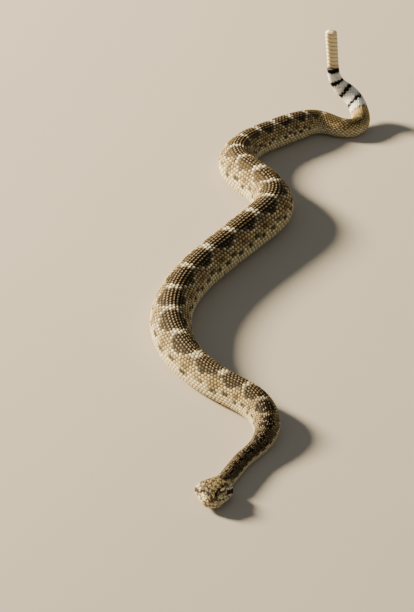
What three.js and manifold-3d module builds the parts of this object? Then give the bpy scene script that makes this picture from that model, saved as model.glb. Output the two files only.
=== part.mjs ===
// A western diamondback rattlesnake at rest on the floor, life size, in millimetres, +Z up.
// The body winds along the floor in wide bends, the head faces the viewer and the rattle stands up.
// One path runs from the neck joint to the tip of the rattle. Every body length is swept along it.

import * as THREE from 'three';
import Module from 'manifold-3d';

const wasm = await Module();
wasm.setup();

// Lengths along the path, measured from the neck joint towards the tail.
const BODY_END = 1072;
const RATTLE_END = 1122;
const TAIL_START = 988;
const HEAD_LENGTH = 52.5;
const GAP = 0.3;

// Where the neck joint stands on the floor, and the way the body leaves it (degrees from +X).
const JOINT = [18.8, -373.5];
const FIRST_HEADING = 66;

// Each bend turns the body by some degrees, from a start and over a length along the path.
const BENDS = [
  { turn: -12, start: 34, length: 24 },
  { turn: 93, start: 47, length: 153 },
  { turn: -89.3, start: 103, length: 421 },
  { turn: 102, start: 593, length: 151 },
  { turn: -121, start: 652, length: 204 },
  { turn: -119.4, start: 893.5, length: 60 },
  { turn: 179.4, start: 916, length: 78 },
  { turn: 64.6, start: 983, length: 50 },
];

// The tail leaves the floor in two bends upwards.
const LIFTS = [
  { turn: 38, start: 950, length: 75 },
  { turn: 48, start: 1027.5, length: 45 },
];

// The head turns to face the viewer, so that it sits a little to one side of the neck, and lifts its nose.
const HEAD_TURN = 19;
const HEAD_LIFT = 5;
const HEAD_BEND = { start: 4, length: 14 };
const HEAD_ASIDE = 6;

// Width of the body at the neck, and each swelling or tapering after it.
const NECK_WIDTH = 18.5;
const SWELLINGS = [
  { gain: 18.5, start: 52, length: 115 },
  { gain: 8.5, start: 190, length: 170 },
  { gain: 1.5, start: 500, length: 110 },
  { gain: -10.5, start: 695, length: 155 },
  { gain: -14, start: 866, length: 108 },
  { gain: -11, start: 1000, length: 72 },
];

// The body is wider than tall. The tail grows as tall as the rattle that it carries.
const NECK_TALLNESS = 0.92;
const BODY_TALLNESS = 0.89;
const TAIL_TALLNESS = 1.25;

// The rattle.
const RATTLE_SEGMENTS = 10;
const RATTLE_WIDTH = 9.4;
const RATTLE_HEIGHT = 14;

// The eyes, in the head's own measures: forward of the joint, out from the middle, above the chin.
const EYE = { forward: 36.7, out: 11.9, up: 12.7, radius: 2.7 };

// How finely the sweeps are cut.
const SIDES = 20;
const STATION_STEP = 9;
const HEAD_SIDES = 32;

const rad = THREE.MathUtils.degToRad;

function smooth(t) {
  const c = Math.min(Math.max(t, 0), 1);
  return c * c * (3 - 2 * c);
}

function growth(steps, key, s) {
  let sum = 0;
  for (const step of steps) sum += step[key] * smooth((s - step.start) / step.length);
  return sum;
}

// The path

function frameFrom(origin, heading, pitch) {
  const h = rad(heading);
  const p = rad(pitch);
  const along = new THREE.Vector3(Math.cos(p) * Math.cos(h), Math.cos(p) * Math.sin(h), Math.sin(p));
  const up = new THREE.Vector3(-Math.sin(p) * Math.cos(h), -Math.sin(p) * Math.sin(h), Math.cos(p));
  const left = new THREE.Vector3(-Math.sin(h), Math.cos(h), 0);
  return { origin, along, left, up };
}

function tracePath(length, headingAt, pitchAt, direction) {
  const frames = [];
  const at = new THREE.Vector3(JOINT[0], JOINT[1], 0);
  for (let s = 0; s <= length; s += 1) {
    frames.push(frameFrom(at.clone(), headingAt(s), pitchAt(s)));
    const middle = frameFrom(at, headingAt(s + 0.5), pitchAt(s + 0.5));
    at.addScaledVector(middle.along, direction);
  }
  return frames;
}

const bodyFrames = tracePath(
  RATTLE_END + 2,
  (s) => FIRST_HEADING + growth(BENDS, 'turn', s),
  (s) => growth(LIFTS, 'turn', s),
  1,
);

const headFrames = tracePath(
  HEAD_LENGTH + 30,
  (d) => FIRST_HEADING + HEAD_TURN * smooth((d - HEAD_BEND.start) / HEAD_BEND.length),
  (d) => -HEAD_LIFT * smooth((d - HEAD_BEND.start) / HEAD_BEND.length),
  -1,
);

function pointAt(frames, s, across, height) {
  const i = Math.min(Math.floor(s), frames.length - 2);
  const t = s - i;
  const place = (f) => f.origin.clone().addScaledVector(f.left, across).addScaledVector(f.up, height);
  return place(frames[i]).lerp(place(frames[i + 1]), t);
}

const onBody = (s, across, height) => pointAt(bodyFrames, s, across, height);
const aside = (d) => HEAD_ASIDE * smooth(d / (HEAD_BEND.start + HEAD_BEND.length));
const onHead = (d, across, height) => pointAt(headFrames, d, across + aside(d), height);

// The section of the body: flat on the floor, widest below half height, round above.

function bodyWidth(s) {
  return NECK_WIDTH + growth(SWELLINGS, 'gain', s);
}

function bodyTallness(s) {
  const behindNeck = (BODY_TALLNESS - NECK_TALLNESS) * smooth((s - 40) / 100);
  const alongTail = (TAIL_TALLNESS - BODY_TALLNESS) * smooth((s - 985) / 85);
  return NECK_TALLNESS + behindNeck + alongTail;
}

function ovalSection(halfWidth, bottom, top, widest, roundness, sides) {
  const ring = [];
  for (let i = 0; i < sides; i += 1) {
    const a = (2 * Math.PI * i) / sides;
    const c = Math.cos(a);
    const n = Math.sin(a);
    const power = 2 / (n > 0 ? roundness.top : roundness.bottom);
    const reach = n > 0 ? top - widest : (widest - bottom) * roundness.press;
    const rise = Math.sign(n) * Math.abs(n) ** power;
    const x = halfWidth * Math.sign(c) * Math.abs(c) ** power * (1 - roundness.lean * smooth(rise));
    ring.push([x, Math.max(widest + reach * rise, bottom)]);
  }
  return ring;
}

const BODY_ROUNDNESS = { top: 1.85, bottom: 2.5, press: 1.05, lean: 0 };
const BODY_WIDEST = 0.4;

function bodySection(s) {
  const width = bodyWidth(s);
  const height = width * bodyTallness(s);
  return ovalSection(width / 2, 0, height, BODY_WIDEST * height, BODY_ROUNDNESS, SIDES);
}

// Closed meshes from rings of points

function loft(rings) {
  const sides = rings[0].length;
  const points = rings.flat();
  const faces = [];
  for (let r = 0; r + 1 < rings.length; r += 1) {
    for (let i = 0; i < sides; i += 1) {
      const j = (i + 1) % sides;
      const a = r * sides + i;
      const b = r * sides + j;
      faces.push([a, b, b + sides], [a, b + sides, a + sides]);
    }
  }
  const middle = (ring) => ring.reduce((m, p) => m.add(p), new THREE.Vector3()).divideScalar(sides);
  const first = points.push(middle(rings[0])) - 1;
  const last = points.push(middle(rings[rings.length - 1])) - 1;
  const lastRing = (rings.length - 1) * sides;
  for (let i = 0; i < sides; i += 1) {
    const j = (i + 1) % sides;
    faces.push([first, j, i], [last, lastRing + i, lastRing + j]);
  }
  return { points, faces };
}

function toGeometry({ points, faces }) {
  const geometry = new THREE.BufferGeometry();
  geometry.setAttribute('position', new THREE.Float32BufferAttribute(points.flatMap((p) => p.toArray()), 3));
  geometry.setIndex(faces.flat());
  if (signedVolume(points, faces) < 0) geometry.setIndex(faces.flatMap(([a, b, c]) => [a, c, b]));
  geometry.computeVertexNormals();
  return geometry;
}

function signedVolume(points, faces) {
  let sum = 0;
  for (const [a, b, c] of faces) {
    sum += points[a].dot(new THREE.Vector3().crossVectors(points[b], points[c]));
  }
  return sum / 6;
}

function toSolid(mesh) {
  const vertProperties = new Float32Array(mesh.points.flatMap((p) => p.toArray()));
  const outward = signedVolume(mesh.points, mesh.faces) > 0;
  const triVerts = new Uint32Array(mesh.faces.flatMap(([a, b, c]) => (outward ? [a, b, c] : [a, c, b])));
  return new wasm.Manifold(new wasm.Mesh({ numProp: 3, vertProperties, triVerts }));
}

function fromSolid(solid) {
  const largest = solid.decompose().sort((a, b) => b.volume() - a.volume())[0];
  const { vertProperties, triVerts } = largest.getMesh();
  const geometry = new THREE.BufferGeometry();
  geometry.setAttribute('position', new THREE.Float32BufferAttribute(Array.from(vertProperties), 3));
  geometry.setIndex(Array.from(triVerts));
  geometry.computeVertexNormals();
  return geometry;
}

function ball(centre, radius, rings, sides, stretch = [1, 1, 1], turn = 0) {
  const points = [new THREE.Vector3(0, 0, 1)];
  for (let r = 1; r < rings; r += 1) {
    const polar = (Math.PI * r) / rings;
    for (let i = 0; i < sides; i += 1) {
      const a = (2 * Math.PI * i) / sides;
      const level = Math.sin(polar);
      points.push(new THREE.Vector3(level * Math.cos(a), level * Math.sin(a), Math.cos(polar)));
    }
  }
  const bottom = points.push(new THREE.Vector3(0, 0, -1)) - 1;
  const faces = [];
  for (let i = 0; i < sides; i += 1) {
    const j = (i + 1) % sides;
    faces.push([0, 1 + i, 1 + j]);
    faces.push([bottom, bottom - sides + j, bottom - sides + i]);
    for (let r = 0; r < rings - 2; r += 1) {
      const a = 1 + r * sides + i;
      const b = 1 + r * sides + j;
      faces.push([a, a + sides, b + sides], [a, b + sides, b]);
    }
  }
  const spin = new THREE.Vector3(0, 0, 1);
  for (const p of points) {
    p.set(p.x * stretch[0], p.y * stretch[1], p.z * stretch[2]);
    p.multiplyScalar(radius).applyAxisAngle(spin, turn).add(centre);
  }
  return { points, faces };
}

// The body lengths

function bodyLength(from, to) {
  const start = from + GAP / 2;
  const end = to - GAP / 2;
  const steps = Math.max(3, Math.round((end - start) / STATION_STEP));
  const rings = [];
  for (let k = 0; k <= steps; k += 1) {
    const s = start + ((end - start) * k) / steps;
    rings.push(bodySection(s).map(([x, z]) => onBody(s, x, z)));
  }
  return toGeometry(loft(rings));
}

// The rattle: horny rings, each a swollen band with a waist behind it, grooved along both sides.

const RATTLE_MIDDLE = (bodyWidth(BODY_END) * bodyTallness(BODY_END)) / 2;

function rattleProfile(t) {
  const along = t - Math.floor(t);
  const waist = Math.exp(-(((along - 0.02) / 0.13) ** 2)) + Math.exp(-(((along - 1.02) / 0.13) ** 2));
  return 1 - 0.19 * waist + 0.03 * Math.cos(2 * Math.PI * (along - 0.3));
}

function rattleGeometry() {
  const pitch = (RATTLE_END - BODY_END) / RATTLE_SEGMENTS;
  const tipStart = RATTLE_END - pitch;
  const bands = [0, 0.14, 0.32, 0.55, 0.8];
  const rings = [];
  for (let n = 0; n < RATTLE_SEGMENTS; n += 1) {
    for (const band of bands) {
      const s = BODY_END + GAP / 2 + (n + band) * pitch * 0.997;
      const tip = Math.sqrt(Math.max(0, 1 - (Math.max(0, s - tipStart) / (pitch * 1.05)) ** 2));
      const taper = 0.97 + 0.05 * smooth((s - BODY_END) / (RATTLE_END - BODY_END));
      const size = rattleProfile(n + band) * taper * tip;
      rings.push(rattleRing(s, size));
    }
  }
  rings.push(rattleRing(RATTLE_END, 0.28));
  return toGeometry(loft(rings));
}

function rattleRing(s, size) {
  const ring = [];
  for (let i = 0; i < SIDES; i += 1) {
    const a = (2 * Math.PI * i) / SIDES;
    const groove = 1 - 0.1 * Math.cos(a) ** 8;
    const x = (RATTLE_WIDTH / 2) * size * groove * Math.sign(Math.cos(a)) * Math.abs(Math.cos(a)) ** 0.75;
    const z = (RATTLE_HEIGHT / 2) * size * Math.sign(Math.sin(a)) * Math.abs(Math.sin(a)) ** 0.85;
    ring.push(onBody(s, x, RATTLE_MIDDLE + z));
  }
  return ring;
}

// The head: its outline from above, its top and its chin, by distance forward of the joint.

const HEAD_SWELLINGS = [
  { gain: 10.9, start: 7.5, length: 13 },
  { gain: -8.2, start: 24.5, length: 25 },
  { gain: -3.6, start: 43.5, length: 10 },
];
const HEAD_TOP_STEPS = [
  { gain: 1.9, start: 7.5, length: 15 },
  { gain: -1.5, start: 26.5, length: 14 },
  { gain: -4.7, start: 39.5, length: 13 },
];
// Above the lips the sides of the head lean in, most of all on the snout.
const HEAD_LEANS = [
  { gain: 0.3, start: 16, length: 16 },
  { gain: 0.16, start: 36, length: 14 },
];
const SNOUT_ROUNDING = 4.2;
const SNOUT_END = 0.98;
const SNOUT_CUTS = [0, 0.3, 0.55, 0.75, 0.88, SNOUT_END];

function snoutRound(d) {
  const t = Math.max(0, d - (HEAD_LENGTH - SNOUT_ROUNDING)) / SNOUT_ROUNDING;
  return Math.max(0, 1 - Math.min(t, 1) ** 2.6) ** 0.45;
}

function headShape(d) {
  const neckHeight = bodyWidth(0) * bodyTallness(0);
  const half = (bodyWidth(0) / 2 + growth(HEAD_SWELLINGS, 'gain', d)) * snoutRound(d);
  const high = neckHeight + growth(HEAD_TOP_STEPS, 'gain', d);
  const low = 0.9 * smooth((d - 38) / 14);
  const middle = (high + low) / 2;
  const squeeze = 0.25 + 0.75 * snoutRound(d);
  const top = middle + (high - middle) * squeeze;
  const bottom = middle - (middle - low) * squeeze;
  const widest = bottom + (BODY_WIDEST + 0.03 * smooth((d - 22) / 20)) * (top - bottom);
  const crownFlat = BODY_ROUNDNESS.top + 1.4 * smooth((d - 16) / 18);
  const lean = growth(HEAD_LEANS, 'gain', d);
  return { half, top, bottom, widest, roundness: { ...BODY_ROUNDNESS, top: crownFlat, lean } };
}

function headRing(d, inset) {
  const { half, top, bottom, widest, roundness } = headShape(d);
  const ring = ovalSection(half - inset, bottom, top, widest, roundness, HEAD_SIDES);
  return ring.map(([x, z]) => onHead(d, x, z));
}

function headLoft(from, to, inset) {
  const rings = [];
  for (let d = from; d < to - SNOUT_ROUNDING; d += 2.1) rings.push(headRing(d, inset));
  for (const t of SNOUT_CUTS) rings.push(headRing(to - (1 - t) * SNOUT_ROUNDING, inset));
  return loft(rings);
}

// The mouth line runs from under the snout back to the jaw corner, dipping below the eye.

const MOUTH_BACK = 17;

function mouthHeight(d) {
  const dip = 1.5 * Math.exp(-(((d - 38) / 9) ** 2));
  const rise = 2.6 * (1 - smooth((d - MOUTH_BACK) / 12));
  return 5.1 + rise - dip;
}

function belowMouth(drop, back) {
  const rings = [];
  const reach = 40;
  for (let d = back; d <= HEAD_LENGTH + 8; d += 3) {
    const height = mouthHeight(d) - drop;
    rings.push([[-reach, -20], [reach, -20], [reach, height], [-reach, height]].map(([x, z]) => onHead(d, x, z)));
  }
  return toSolid(loft(rings));
}

// A point on the skin of the head at a height, pushed out or in from the surface.

function onHeadSkin(d, side, height, push) {
  const { half, top, bottom, widest, roundness } = headShape(d);
  const up = height > widest;
  const reach = up ? top - widest : (widest - bottom) * roundness.press;
  const power = up ? roundness.top : roundness.bottom;
  const rise = (height - widest) / reach;
  const x = half * Math.max(0, 1 - Math.abs(rise) ** power) ** (1 / power) * (1 - roundness.lean * smooth(rise));
  return onHead(d, side * (x + push), height);
}

const HEAD_HEADING = rad(FIRST_HEADING + HEAD_TURN - 180);

// The plate over each eye is a smooth oval shield that stands out over it as a brow.

const BROW = { forward: 35.8, out: 10, up: 15.7, halfLength: 5, halfWidth: 3.2, halfHeight: 1.2 };
const BROW_TURN = 0.22;
const BROW_TILT = 0.05;

function browPlate(side) {
  const plate = ball(new THREE.Vector3(), 1, 8, 16);
  for (const p of plate.points) {
    const d = BROW.forward + p.x * BROW.halfLength;
    const out = BROW.out - BROW_TURN * (d - BROW.forward) + p.y * BROW.halfWidth;
    const height = BROW.up + p.z * BROW.halfHeight + BROW_TILT * (out - BROW.out);
    p.copy(onHead(d, side * out, height));
  }
  return toSolid(plate);
}

// The heat pit between the eye and the nostril, and the nostril near the tip of the snout.

const PIT = { forward: 45, up: 8.9, push: 0.5, radius: 1.55, stretch: [1.1, 1, 0.85] };
const NOSTRIL = { forward: 50.1, up: 10.2, push: 0.1, radius: 1, stretch: [1.1, 1, 0.9] };

function hollow({ forward, up, push, radius, stretch }, side) {
  return toSolid(ball(onHeadSkin(forward, side, up, push), radius, 6, 10, stretch, HEAD_HEADING));
}

const JAW_INSET = 0.7;
const CHIN_SHORT = 1.2;
const JAW_ROOT = 4;

function headSolids() {
  let head = toSolid(headLoft(GAP / 2, HEAD_LENGTH, 0));
  for (const side of [-1, 1]) {
    head = head.add(browPlate(side));
    const eye = onHead(EYE.forward, side * EYE.out, EYE.up);
    head = head.subtract(toSolid(ball(eye, EYE.radius + GAP, 8, 14, [1, 1, 1], HEAD_HEADING)));
    head = head.subtract(hollow(PIT, side)).subtract(hollow(NOSTRIL, side));
  }
  head = head.subtract(belowMouth(0, MOUTH_BACK));
  const chin = toSolid(headLoft(MOUTH_BACK - JAW_ROOT, HEAD_LENGTH - CHIN_SHORT, JAW_INSET));
  return { head, jaw: chin.intersect(belowMouth(GAP, MOUTH_BACK + GAP)) };
}

function eyeGeometry(side) {
  const centre = onHead(EYE.forward, side * EYE.out, EYE.up);
  return toGeometry(ball(centre, EYE.radius, 8, 14, [1, 1, 1], HEAD_HEADING));
}

// Materials

function matte(colour, roughness) {
  return () => new THREE.MeshStandardMaterial({ color: colour, roughness, metalness: 0 });
}

const scaly = matte(0x9a8468, 0.75);
const crown = matte(0x8d8070, 0.7);
const lips = matte(0xd8cdb4, 0.7);
const ringed = matte(0xcfc8ba, 0.7);
const horn = matte(0xc9b184, 0.5);
const glossy = matte(0x2a2118, 0.15);

// The parts of the body, each from one place along the path to the next.

const LENGTHS = [
  { name: 'neck', to: 62 },
  { name: 'body_1', to: 123 },
  { name: 'body_2', to: 235 },
  { name: 'body_3', to: 340 },
  { name: 'body_4', to: 450 },
  { name: 'body_5', to: 570 },
  { name: 'body_6', to: 655 },
  { name: 'body_7', to: 715 },
  { name: 'body_8', to: 785 },
  { name: 'body_9', to: 860 },
  { name: 'body_10', to: 908 },
  { name: 'body_11', to: 950 },
  { name: 'body_12', to: TAIL_START },
  { name: 'tail', to: BODY_END },
];

function addMesh(group, name, geometry, makeMaterial) {
  const mesh = new THREE.Mesh(geometry, makeMaterial());
  mesh.name = name;
  group.add(mesh);
}

function buildSnake() {
  const snake = new THREE.Group();
  const { head, jaw } = headSolids();
  addMesh(snake, 'head', fromSolid(head), crown);
  addMesh(snake, 'lower_jaw', fromSolid(jaw), lips);
  addMesh(snake, 'eye_left', eyeGeometry(-1), glossy);
  addMesh(snake, 'eye_right', eyeGeometry(1), glossy);
  let from = 0;
  for (const { name, to } of LENGTHS) {
    addMesh(snake, name, bodyLength(from, to), name === 'tail' ? ringed : scaly);
    from = to;
  }
  addMesh(snake, 'rattle', rattleGeometry(), horn);
  return snake;
}

// The origin is on the floor under the middle of the whole animal's box.

function centred(snake) {
  const box = new THREE.Box3().setFromObject(snake, true);
  const middle = box.getCenter(new THREE.Vector3());
  snake.position.set(-middle.x, -middle.y, -box.min.z);
  return snake;
}

export default centred(buildSnake());
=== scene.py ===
"""A western diamondback rattlesnake at rest, life size: its skin, scales, eyes and rattle.

Sizes are in millimetres along the animal and become metres when a mesh is made. A place on the
body is given by s, the distance from the neck joint towards the tail, and by q, the way round the
body: 0 on the spine, 1 and -1 along the middle of the belly. On the head s is negative, and d is
the distance forward of the joint.
"""

import math

import bpy
import numpy as np
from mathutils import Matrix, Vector


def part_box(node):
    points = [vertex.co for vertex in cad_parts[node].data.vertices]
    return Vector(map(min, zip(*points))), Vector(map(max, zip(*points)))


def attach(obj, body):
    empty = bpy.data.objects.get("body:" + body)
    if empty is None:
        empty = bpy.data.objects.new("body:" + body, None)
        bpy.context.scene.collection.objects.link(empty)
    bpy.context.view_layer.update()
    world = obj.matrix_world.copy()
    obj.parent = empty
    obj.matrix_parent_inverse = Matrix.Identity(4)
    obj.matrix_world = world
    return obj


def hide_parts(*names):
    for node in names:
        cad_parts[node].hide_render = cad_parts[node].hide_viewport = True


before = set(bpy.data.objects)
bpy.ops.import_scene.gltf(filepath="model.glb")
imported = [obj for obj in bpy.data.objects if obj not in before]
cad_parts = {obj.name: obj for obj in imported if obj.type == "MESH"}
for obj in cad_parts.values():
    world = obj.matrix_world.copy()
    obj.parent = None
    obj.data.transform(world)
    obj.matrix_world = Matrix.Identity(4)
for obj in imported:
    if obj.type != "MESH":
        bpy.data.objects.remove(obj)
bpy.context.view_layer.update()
rng = np.random.default_rng(20)

# Driving sizes, as in the solids but for lower brows and slightly smaller pits and nostrils

BODY_END = 1072
RATTLE_END = 1122
TAIL_START = 988
HEAD_LENGTH = 52.5
JOINT = (18.8, -373.5)
FIRST_HEADING = 66
BENDS = [
    (-12, 34, 24), (93, 47, 153), (-89.3, 103, 421), (102, 593, 151),
    (-121, 652, 204), (-119.4, 893.5, 60), (179.4, 916, 78), (64.6, 983, 50),
]
LIFTS = [(38, 950, 75), (48, 1027.5, 45)]
HEAD_TURN = 19
HEAD_LIFT = 5
HEAD_BEND = (4, 14)
HEAD_ASIDE = 6
NECK_WIDTH = 18.5
SWELLINGS = [
    (18.5, 52, 115), (8.5, 190, 170), (1.5, 500, 110),
    (-10.5, 695, 155), (-14, 866, 108), (-11, 1000, 72),
]
NECK_TALLNESS = 0.92
BODY_TALLNESS = 0.89
TAIL_TALLNESS = 1.25
TALLNESS_STEPS = [(BODY_TALLNESS - NECK_TALLNESS, 40, 100), (TAIL_TALLNESS - BODY_TALLNESS, 985, 85)]
HEAD_SWELLINGS = [(10.9, 7.5, 13), (-8.2, 24.5, 25), (-3.6, 43.5, 10)]
HEAD_TOP_STEPS = [(1.9, 7.5, 15), (-1.5, 26.5, 14), (-4.7, 39.5, 13)]
HEAD_LEANS = [(0.3, 16, 16), (0.16, 36, 14)]
CHIN_RISE = [(0.9, 38, 14)]
CHEEK_RISE = [(0.03, 22, 20)]
CROWN_FLATTENING = [(1.4, 16, 18)]
SNOUT_ROUNDING = 4.2
SNOUT_START = HEAD_LENGTH - SNOUT_ROUNDING
SNOUT_POWER = 2.6
SNOUT_BLUNTNESS = 0.45
SNOUT_SQUEEZE = 0.25
ROUND_TOP = 1.85
ROUND_BOTTOM = 2.5
PRESS = 1.05
WIDEST = 0.4
EYE = {"forward": 36.7, "out": 11.9, "up": 12.7, "radius": 2.7}
BROW = {"forward": 35.8, "out": 9.9, "up": 15.35, "length": 5, "width": 3.2, "height": 1.2}
BROW_TURN = 0.22
BROW_TILT = -0.01
PIT = {"forward": 45, "up": 8.9, "radius": 1.5}
NOSTRIL = {"forward": 50.1, "up": 10.2, "radius": 0.9}
MOUTH_BACK = 17
MOUTH_HEIGHT = 5.1
MOUTH_CORNER_RISE = 2.6
MOUTH_CORNER_LENGTH = 12
MOUTH_DIP = 1.5
MOUTH_DIP_FORWARD = 38
MOUTH_DIP_REACH = 9
RATTLE_SEGMENTS = 10
RATTLE_WIDTH = 9.4
RATTLE_HEIGHT = 14


def smooth(t):
    """A soft step: 0 up to t = 0, and 1 from t = 1."""
    c = np.clip(t, 0, 1)
    return c * c * (3 - 2 * c)


def rising(x, start, length):
    """0 up to a start, then softly up to 1 over a length."""
    return smooth((x - start) / length)


def falling(x, end, length):
    """1 until a length before an end, then softly down to 0."""
    return smooth((end - x) / length)


def hump(x, centre, reach):
    """1 at a centre, falling off like a bell on both sides."""
    return np.exp(-(((x - centre) / reach) ** 2))


def growth(steps, s):
    """The sum of soft steps at s. Each has a gain, a start and a length."""
    return sum(gain * rising(s, start, length) for gain, start, length in steps)


# The path, traced in steps of one millimetre as the solids are

def trace_path(length, heading_at, pitch_at, direction):
    s = np.arange(int(length) + 1, dtype=float)

    def axes(at):
        h = np.radians(heading_at(at))
        p = np.radians(pitch_at(at))
        along = np.stack([np.cos(p) * np.cos(h), np.cos(p) * np.sin(h), np.sin(p)], 1)
        up = np.stack([-np.sin(p) * np.cos(h), -np.sin(p) * np.sin(h), np.cos(p)], 1)
        left = np.stack([-np.sin(h), np.cos(h), 0 * h], 1)
        return along, left, up

    origin = np.zeros((len(s), 3))
    origin[0] = (*JOINT, 0)
    origin[1:] = origin[0] + np.cumsum(axes(s + 0.5)[0][:-1] * direction, 0)
    _, left, up = axes(s)
    return {"origin": origin, "left": left, "up": up}


body_path = trace_path(
    RATTLE_END + 2,
    lambda s: FIRST_HEADING + growth(BENDS, s),
    lambda s: growth(LIFTS, s),
    1,
)
head_path = trace_path(
    HEAD_LENGTH + 30,
    lambda d: FIRST_HEADING + HEAD_TURN * rising(d, *HEAD_BEND),
    lambda d: -HEAD_LIFT * rising(d, *HEAD_BEND),
    -1,
)


def aside(d):
    return HEAD_ASIDE * smooth(d / sum(HEAD_BEND))


def on_path(path, s, across, height):
    s, across, height = np.broadcast_arrays(np.asarray(s, float), across, height)
    i = np.clip(np.floor(s).astype(int), 0, len(path["origin"]) - 2)
    t = (s - i)[..., None]

    def beside(k):
        return path["origin"][k] + path["left"][k] * across[..., None] + path["up"][k] * height[..., None]

    return beside(i) * (1 - t) + beside(i + 1) * t


def on_head(d, across, height):
    return on_path(head_path, d, across + aside(np.asarray(d, float)), height)


# Where the animal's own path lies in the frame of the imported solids

eye_low, eye_high = (np.array(corner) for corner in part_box("eye_left"))
SHIFT = (eye_low + eye_high) / 2 - on_head(EYE["forward"], -EYE["out"], EYE["up"]) / 1000


def to_metres(points):
    return points / 1000 + SHIFT


# The section of the body and of the head

def body_width(s):
    return NECK_WIDTH + growth(SWELLINGS, s)


def body_tallness(s):
    return NECK_TALLNESS + growth(TALLNESS_STEPS, s)


def half_oval(half, bottom, top, widest, round_top, lean=0.0, count=260):
    """Half of a section from the spine down to the middle of the belly."""
    a = np.linspace(math.pi / 2, -math.pi / 2, count)
    c = np.cos(a).clip(0)
    n = np.sin(a)
    above = n > 0
    power = np.where(above, 2 / round_top, 2 / ROUND_BOTTOM)
    reach = np.where(above, top - widest, (widest - bottom) * PRESS)
    rise = np.sign(n) * np.abs(n) ** power
    x = half * c ** power * (1 - lean * smooth(rise))
    return x, np.maximum(widest + reach * rise, bottom)


def body_half_section(s):
    width = body_width(s)
    height = width * body_tallness(s)
    return half_oval(width / 2, 0, height, WIDEST * height, ROUND_TOP)


def head_half_section(d):
    t = np.clip((d - SNOUT_START) / SNOUT_ROUNDING, 0, 0.9999)
    rounding = (1 - t ** SNOUT_POWER) ** SNOUT_BLUNTNESS
    half = (NECK_WIDTH / 2 + growth(HEAD_SWELLINGS, d)) * rounding
    high = NECK_WIDTH * NECK_TALLNESS + growth(HEAD_TOP_STEPS, d)
    low = growth(CHIN_RISE, d)
    middle = (high + low) / 2
    squeeze = SNOUT_SQUEEZE + (1 - SNOUT_SQUEEZE) * rounding
    top = middle + (high - middle) * squeeze
    bottom = middle - (middle - low) * squeeze
    widest = bottom + (WIDEST + growth(CHEEK_RISE, d)) * (top - bottom)
    round_top = ROUND_TOP + growth(CROWN_FLATTENING, d)
    return half_oval(half, bottom, top, widest, round_top, growth(HEAD_LEANS, d))


# The surface of the whole animal as one table over s and q, even in arc length round the body

COLUMNS = 160
SNOUT_ROWS = 50
STATION_STEP = 0.5
SNOUT_STATIONS = -SNOUT_START - SNOUT_ROUNDING * np.sin(np.linspace(1, 0, SNOUT_ROWS) * math.pi / 2)
EVEN_STATIONS = np.arange(-math.floor(SNOUT_START), BODY_END + STATION_STEP / 2, STATION_STEP)
STATIONS = np.concatenate([SNOUT_STATIONS, EVEN_STATIONS])


def surface_table():
    half_columns = COLUMNS // 2
    share = np.linspace(0, 1, half_columns + 1)
    x = np.zeros((len(STATIONS), half_columns + 1))
    z = np.zeros_like(x)
    girth = np.zeros(len(STATIONS))
    for row, s in enumerate(STATIONS):
        px, pz = body_half_section(s) if s >= 0 else head_half_section(-s)
        run = np.concatenate([[0], np.cumsum(np.hypot(np.diff(px), np.diff(pz)))])
        girth[row] = run[-1]
        x[row] = np.interp(share * run[-1], run, px)
        z[row] = np.interp(share * run[-1], run, pz)
    across = np.concatenate([-x[:, :0:-1], x], 1)
    height = np.concatenate([z[:, :0:-1], z], 1)
    on_body = STATIONS >= 0
    s_body = STATIONS[on_body][:, None]
    d_head = -STATIONS[~on_body][:, None]
    points = np.concatenate([
        on_head(d_head, across[~on_body], height[~on_body]),
        on_path(body_path, s_body, across[on_body], height[on_body]),
    ])
    along = np.gradient(points, STATIONS, axis=0)
    around = np.gradient(points, axis=1)
    around[:, 0] = around[:, -1] = (points[:, 1] - points[:, -2]) / 2
    normal = np.cross(along, around)
    normal /= np.linalg.norm(normal, axis=2, keepdims=True) + 1e-9
    middle = points.mean(1, keepdims=True)
    if ((points - middle) * normal).sum() < 0:
        normal = -normal
    return points, normal, across, height, girth


POINTS, NORMALS, ACROSS, HEIGHTS, HALF_GIRTH = surface_table()


def look_up(table, s, q):
    """Reads a table at s and q, between its stations and columns."""
    row = np.clip(np.interp(s, STATIONS, np.arange(len(STATIONS))), 0, len(STATIONS) - 1.001)
    column = ((q + 1) % 2) / 2 * COLUMNS
    i = np.floor(row).astype(int)
    j = np.minimum(np.floor(column).astype(int), COLUMNS - 1)
    u = row - i
    v = column - j
    if table.ndim == 3:
        u = u[..., None]
        v = v[..., None]
    low = table[i, j] * (1 - v) + table[i, j + 1] * v
    high = table[i + 1, j] * (1 - v) + table[i + 1, j + 1] * v
    return low * (1 - u) + high * u


def half_girth(s):
    return np.interp(s, STATIONS, HALF_GIRTH)


# Over the blunt snout the skin runs further than the path does

SKIN_RUN = np.concatenate([[0], np.cumsum(np.hypot(np.diff(STATIONS), np.diff(HALF_GIRTH) / math.pi))])


def along_skin(s, step):
    """The station that lies some millimetres along the skin from s."""
    return np.interp(np.interp(s, STATIONS, SKIN_RUN) + step, SKIN_RUN, STATIONS)


def place(s, q, lift):
    """A point on the animal, lifted off the surface of the solids by some millimetres."""
    return look_up(POINTS, s, q) + look_up(NORMALS, s, q) * lift[..., None]


def q_at_height(d, height, count=81):
    """How far round from the spine the head's side reaches a height, d forward of the joint."""
    d, height = np.broadcast_arrays(np.asarray(d, float), height)
    share = np.linspace(0, 1, count)
    levels = look_up(HEIGHTS, np.repeat(-d.ravel()[:, None], count, 1), np.tile(share, (d.size, 1)))
    found = [np.interp(-h, -line, share) for h, line in zip(height.ravel(), levels)]
    return np.array(found).reshape(d.shape)


MIDLINE = 0.05
SNOUT_BACK = -30


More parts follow.
